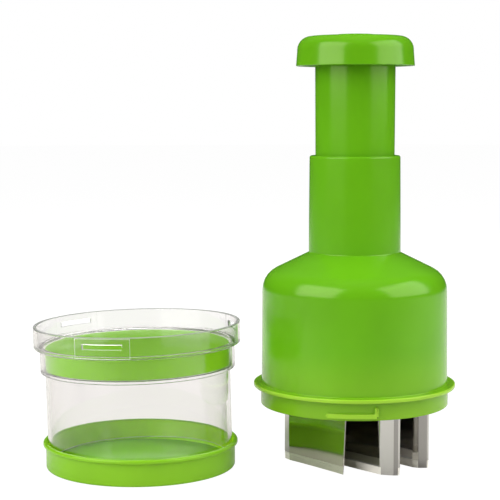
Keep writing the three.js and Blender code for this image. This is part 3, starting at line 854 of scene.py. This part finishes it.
def make_housing():
    """The housing: skirt, flange, body, shoulder and neck in one, hollow, with three bosses and ribs; the flange's
    rim and the ribs are painted lighter as a painted highlight.
    """
    inside = BODY_RADIUS - HOUSING_WALL
    drop = HOUSING_WALL / math.cos(SHOULDER_SLOPE)
    corners = [
        (SKIRT_RADIUS - SKIRT_WALL, SKIRT_BOTTOM, 0.5),
        (SKIRT_RADIUS, SKIRT_BOTTOM, 0.6),
        (SKIRT_RADIUS, FLANGE_BOTTOM, 0.3),
        (FLANGE_RADIUS, FLANGE_BOTTOM, 0.5),
        (FLANGE_RADIUS, FLANGE_TOP, 0.6),
        (BODY_RADIUS + BODY_FLARE, FLANGE_TOP, 0.5),
        (BODY_RADIUS, cone_height(BODY_RADIUS), SHOULDER_CORNER),
        (NECK_RADIUS, SHOULDER_TOP, 0.8),
        (NECK_TOP_RADIUS, NECK_TOP, 1.0),
        (NECK_BORE, NECK_TOP, 0.4),
        (NECK_BORE, BUSH_TOP, 0.2),
        (BUSH_BORE, BUSH_TOP, 0.2),
        (BUSH_BORE, BUSH_SEAT, 0.2),
        (BUSH_RING, BUSH_SEAT, 0.2),
        (ROOF_START, cone_height(ROOF_START) - drop, 0),
        (inside, cone_height(inside) - drop, SHOULDER_CORNER - HOUSING_WALL),
        (inside, FLANGE_TOP, 0.5),
        (SKIRT_RADIUS - SKIRT_WALL, FLANGE_BOTTOM, 0.5),
    ]
    bm = bmesh.new()
    lathe_mesh(bm, rounded(corners), PRESS, ROUND)
    # painted highlight: the flange's rim is painted lighter
    for face in bm.faces:
        reach = (face.calc_center_median().xy - PRESS.xy).length / MM
        if reach > FLANGE_RADIUS - FLANGE_HIGHLIGHT_BAND:
            face.material_index = HOUSING_SHADES.index(LIME_PAINTED_HIGHLIGHT)
    for turn in (0, 120, 240):
        add_boss(bm, math.radians(BOSS_MIDDLE + turn))
        add_hook(bm, HOOK_MIDDLE + turn)
    housing = finished("housing_shell", bm, HOUSING_SHADES)
    place(housing, "housing", "lime_plastic", "housing")


# ------------------------------------------------------------------ press unit: blade

def blade_line():
    """The blade's centre line in plan, with its folds rounded and its free front leg divided."""
    corners = [(x, y, BLADE_BEND) for x, y in BLADE_PLAN]
    line = rounded(corners, closed=False)
    first = [line[0].lerp(line[1], i / FREE_LEG_FACES) for i in range(FREE_LEG_FACES)]
    return first + line[1:]


def across(line):
    """The sideways direction at each point of a line in plan."""
    directions = []
    for i in range(len(line)):
        along = (line[min(i + 1, len(line) - 1)] - line[max(i - 1, 0)]).normalized()
        directions.append(Vector((-along.y, along.x)))
    return directions


def splay(x, y, z):
    """A point of the blade, moved outwards if it is on the free front leg: most at the bottom of its end."""
    end, fold = (Vector(corner) for corner in BLADE_PLAN[:2])
    along = (end - fold).normalized()
    offset = Vector((x, y)) - fold
    reach = offset.dot(along) / (end - fold).length
    on_leg = abs(offset.cross(along)) < BLADE_THICKNESS and reach > 0
    bend = BLADE_SPLAY * reach**1.5 * (1 - z / BLADE_TOP) if on_leg else 0
    return Vector((x + along.y * bend, y - along.x * bend, z))


def blade_face_material(line, i, ground):
    """The material of the faces between points i and i + 1 of the blade's line. The free leg and the ground bands
    carry painted reflections, the folds right of the seam painted shade.
    """
    step = line[i + 1] - line[i]
    on_leg = abs(step.y) > abs(step.x) / 2
    if on_leg and i < FREE_LEG_FACES:
        return GROUND_LEG_PAINTED_REFLECTION if ground else LEG_STEEL_PAINTED_REFLECTION
    if on_leg:
        return GROUND_STEEL_PAINTED_PALE if ground else BLADE_STEEL
    right_of_seam = (line[i].x + line[i + 1].x) / 2 > NOSE_SEAM
    return STEEL_PAINTED_SHADE if right_of_seam else BLADE_STEEL


def make_blade():
    """The folded strip. Its cross-section has three levels on each side: edge, end of the grind, top."""
    line = blade_line()
    directions = across(line)
    half = BLADE_THICKNESS / 2
    levels = [(0.0, BLADE_EDGE / 2), (GROUND_EDGE, half), (BLADE_TOP, half)]
    section = levels + [(z, -reach) for z, reach in reversed(levels)]
    bm = bmesh.new()
    loop = []
    for z, reach in section:
        row = []
        for point, out in zip(line, directions):
            x, y = point + out * reach
            row.append(bm.verts.new(PRESS + splay(x, y, z) * MM))
        loop.append(row)
    for a in range(len(section)):
        b = (a + 1) % len(section)
        ground = max(section[a][0], section[b][0]) <= GROUND_EDGE
        for i in range(len(line) - 1):
            face = bm.faces.new((loop[a][i], loop[a][i + 1], loop[b][i + 1], loop[b][i]))
            face.material_index = BLADE_STEEL_AND_PAINTED_COPIES.index(blade_face_material(line, i, ground))
    for end in (0, -1):
        bm.faces.new([row[end] for row in loop])
    blade = finished("zigzag_blade", bm, BLADE_STEEL_AND_PAINTED_COPIES, 20)
    place(blade, "blades", "blade_steel", "blade_strip")


# ------------------------------------------------------------------ press unit: return spring

def spring_ring(bm, share, bottom, top, radius, wire):
    """The points round the wire at a share of the way up the coil."""
    flat = SPRING_FLAT_TURNS / SPRING_TURNS
    angle = 2 * math.pi * SPRING_TURNS * share
    rise = min(max((share - flat) / (1 - 2 * flat), 0), 1)
    z = bottom + (top - bottom) * rise
    ring = []
    for k in range(SPRING_SIDES):
        turn = 2 * math.pi * k / SPRING_SIDES
        reach = radius + wire * math.cos(turn)
        point = Vector((math.cos(angle) * reach, math.sin(angle) * reach, z + wire * math.sin(turn)))
        ring.append(bm.verts.new(PRESS + point))
    return ring


def make_spring():
    """The coil between the plunger and the guide plate, which shortens as the knob goes down. It is made at the
    length of its CAD node and rides on the plunger.
    """
    low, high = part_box("return_spring")
    wire = SPRING_WIRE / 2 * MM
    radius = (high.x - low.x) / 2 - wire
    steps = SPRING_TURNS * SPRING_STEPS
    bm = bmesh.new()
    rings = [spring_ring(bm, i / steps, low.z + wire, high.z - wire, radius, wire) for i in range(steps + 1)]
    for a, b in zip(rings, rings[1:]):
        for k in range(SPRING_SIDES):
            n = (k + 1) % SPRING_SIDES
            bm.faces.new((a[k], a[n], b[n], b[k]))
    for ring in (rings[0], rings[-1]):
        bm.faces.new(ring)
    spring = finished("spring_coil", bm, [PLATED])
    place(spring, "plunger", "plated_steel", "return_spring")
    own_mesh(spring)


# ------------------------------------------------------------------ CAD nodes that stay

def dress_cad_nodes():
    """The inner pieces keep their CAD shape and get their real material."""
    finishes = {"nylon": NYLON, "silicone": SILICONE, "plated_steel": PLATED}
    for part in frame["record"]["subparts"]:
        if part["material_slot"] not in finishes:
            continue
        for slot in frame["nodes"][part["node"]].material_slots:
            slot.material = finishes[part["material_slot"]]


# ------------------------------------------------------------------ table, light and camera

def add_table():
    """A round table top that reaches far past the camera's view."""
    bm = bmesh.new()
    bmesh.ops.create_circle(bm, cap_ends=True, segments=96, radius=TABLE_RADIUS)
    table = finished("table", bm, [table_top()])
    table.location.z = -TABLE_GAP


def add_softbox(name, azimuth, elevation, distance, width, height, brightness, glossy=True):
    """A rectangular soft light aimed at the set.

    Azimuth 0 is the camera's side, positive to the right. Brightness is how bright its face looks."""
    light = bpy.data.lights.new(name, "AREA")
    light.shape = "RECTANGLE"
    light.size, light.size_y = width, height
    light.energy = 4 * width * height * brightness
    lamp = bpy.data.objects.new(name, light)
    bpy.context.scene.collection.objects.link(lamp)
    a, e = math.radians(azimuth), math.radians(elevation)
    away = Vector((math.sin(a) * math.cos(e), -math.cos(a) * math.cos(e), math.sin(e)))
    lamp.location = AIM + away * distance
    lamp.rotation_euler = away.to_track_quat("Z", "Y").to_euler()
    lamp.visible_glossy = glossy
    lamp.visible_camera = False


class WorldNodes(Nodes):
    """The world's node tree."""

    def __init__(self, world):
        world.use_nodes = True
        self.tree = world.node_tree
        self.shader = self.tree.nodes["Background"]
        self.output = self.tree.nodes["World Output"]
        self.place = self.add("ShaderNodeTexCoord").outputs["Generated"]


def add_room():
    """The studio: a white backdrop behind the set, a dim room in front, a brighter ceiling."""
    world = bpy.data.worlds.new("studio")
    bpy.context.scene.world = world
    m = WorldNodes(world)
    axes = m.add("ShaderNodeSeparateXYZ")
    m.link(m.place, axes.inputs[0])
    backdrop = m.ramp(axes.outputs["Y"], ROOM, BACKDROP, *BACKDROP_REACH)
    ceiling = m.ramp(axes.outputs["Z"], 0, CEILING, *CEILING_REACH)
    total = m.add("ShaderNodeMath")
    m.link(backdrop, total.inputs[0])
    m.link(ceiling, total.inputs[1])
    m.link(total.outputs[0], m.shader.inputs["Strength"])
    white = m.add("ShaderNodeBackground", Color=(1, 1, 1, 1), Strength=1.0)
    choice = m.add("ShaderNodeMixShader")
    m.link(seen_directly(m), choice.inputs[0])
    m.link(m.shader.outputs[0], choice.inputs[1])
    m.link(white.outputs[0], choice.inputs[2])
    m.link(choice.outputs[0], m.output.inputs["Surface"])


def add_light():
    """The room, two softboxes in front, a soft light above and one behind."""
    add_room()
    add_softbox("left_softbox", -52.5, 28, 1.2, 1.22, 1.04, 2.7)
    add_softbox("right_softbox", 71, 28, 1.2, 1.32, 1.04, 2.15)
    add_softbox("overhead", 0, 88, 1.4, 1.6, 1.6, 1.6, glossy=False)
    add_softbox("back_light", 180, 35, 1.2, 1.6, 1.0, 2.2, glossy=False)


def add_camera():
    """The camera stands in front of the set, a little above the neck, tilted slightly down."""
    camera = bpy.data.cameras.new("camera")
    camera.sensor_width = 36.0
    camera.lens = LENS
    view = bpy.data.objects.new("camera", camera)
    bpy.context.scene.collection.objects.link(view)
    view.location = PRESS + CAMERA_PLACE
    view.rotation_euler = CAMERA_TURN
    bpy.context.scene.camera = view


def set_render():
    """Plain colours, and enough bounces for light to pass through both walls of the cup."""
    scene = bpy.context.scene
    scene.view_settings.view_transform = "Standard"
    scene.cycles.glossy_bounces = 8
    scene.cycles.transmission_bounces = 14
    scene.cycles.max_bounces = 16


add_camera()
make_base()
make_lid()
make_cup()
make_knob()
make_tube()
make_housing()
make_blade()
make_spring()
dress_cad_nodes()
add_table()
add_light()
set_render()
